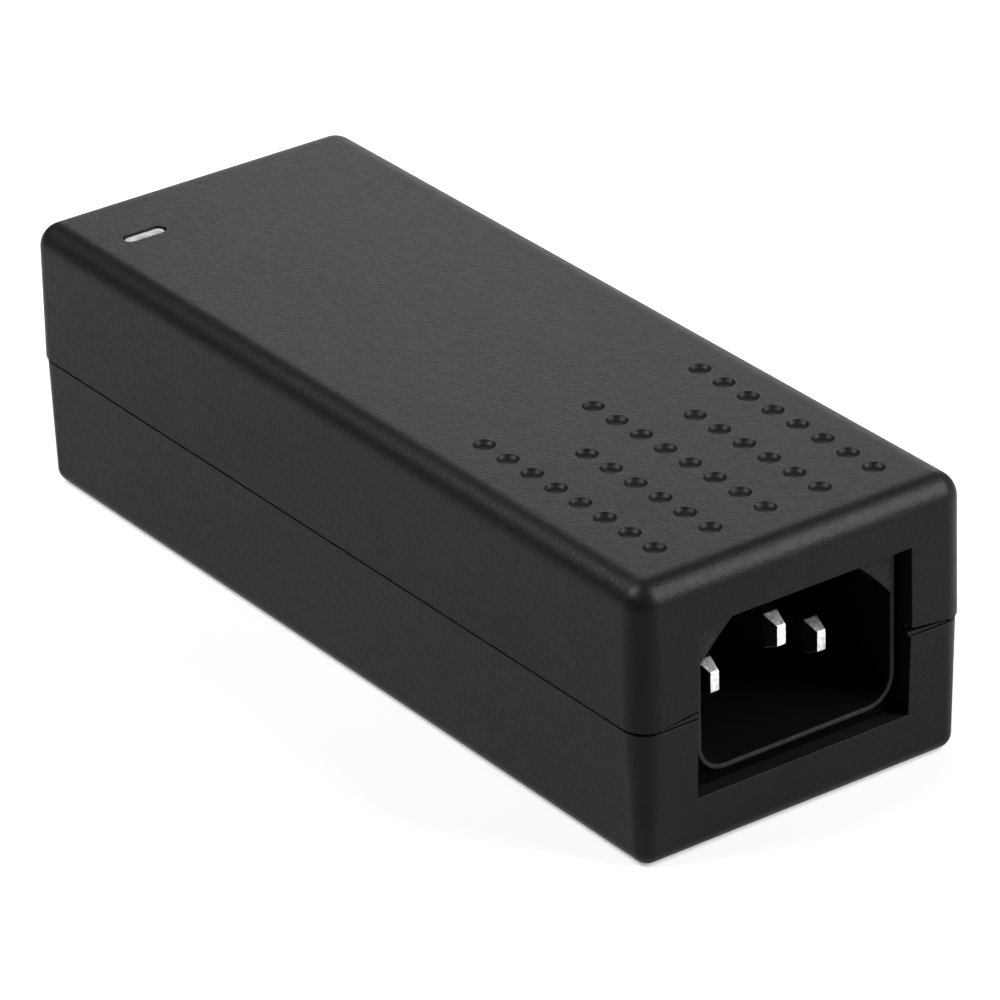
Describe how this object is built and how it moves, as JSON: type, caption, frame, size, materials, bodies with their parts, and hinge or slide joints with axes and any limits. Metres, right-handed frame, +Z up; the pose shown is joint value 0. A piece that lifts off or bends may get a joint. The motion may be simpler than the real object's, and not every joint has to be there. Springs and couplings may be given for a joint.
{
  "type": "poe injector",
  "caption": "Black brick-shaped power injector with a mains appliance inlet at one end, network jacks at the other and vent dimples on top.",
  "frame": {"origin": "centre of the underside of the case, on the surface it stands on", "axes": "+X along the case towards the mains inlet, +Y across the case, +Z up out of the vented top"},
  "size_m": [0.114, 0.043, 0.0326],
  "materials": {
    "case_plastic": "fine-grained satin black",
    "lens": "milky translucent",
    "led": "clear green tint",
    "screw_steel": "zinc plated",
    "label": "plain silver-grey film",
    "inlet_plastic": "moulded black",
    "pin_metal": "nickel plated",
    "jack_plastic": "moulded black",
    "shield_metal": "nickel-plated sheet",
    "gold_contact": "gold plated",
    "board": "green solder mask",
    "insulation": "thin film",
    "dark_component": "moulded epoxy",
    "green_disc": "dipped",
    "yellow_plastic": "moulded",
    "ferrite": "pressed ferrite",
    "copper": "enamelled copper wire",
    "sleeve": "shrink sleeve",
    "heatsink_aluminium": "plain sheet",
    "tape": "polyester tape",
    "blue_disc": "dipped"
  },
  "bodies": {
    "root": {"top_shell": "case_plastic", "bottom_shell": "case_plastic", "indicator_lens": "lens", "power_led": "led", "housing_screws": "screw_steel", "rating_label": "label", "inlet_body": "inlet_plastic", "line_pin": "pin_metal", "neutral_pin": "pin_metal", "earth_pin": "pin_metal", "lan_jack_housing": "jack_plastic", "lan_jack_shield": "shield_metal", "lan_jack_contacts": "gold_contact", "poe_jack_housing": "jack_plastic", "poe_jack_shield": "shield_metal", "poe_jack_contacts": "gold_contact", "circuit_board": "board", "insulation_sheet": "insulation", "fuse": "dark_component", "inrush_thermistor": "green_disc", "x_capacitor": "yellow_plastic", "choke_core": "ferrite", "choke_windings": "copper", "bridge_rectifier": "dark_component", "bulk_capacitor": "sleeve", "switching_transistor": "dark_component", "primary_heatsink": "heatsink_aluminium", "controller_chip": "dark_component", "optocoupler": "dark_component", "transformer_core": "ferrite", "transformer_bobbin": "dark_component", "transformer_winding": "tape", "y_capacitor": "blue_disc", "output_diode": "dark_component", "secondary_heatsink": "heatsink_aluminium", "output_capacitors": "sleeve", "output_inductor": "ferrite", "data_transformer": "dark_component"}
  },
  "joints": []
}
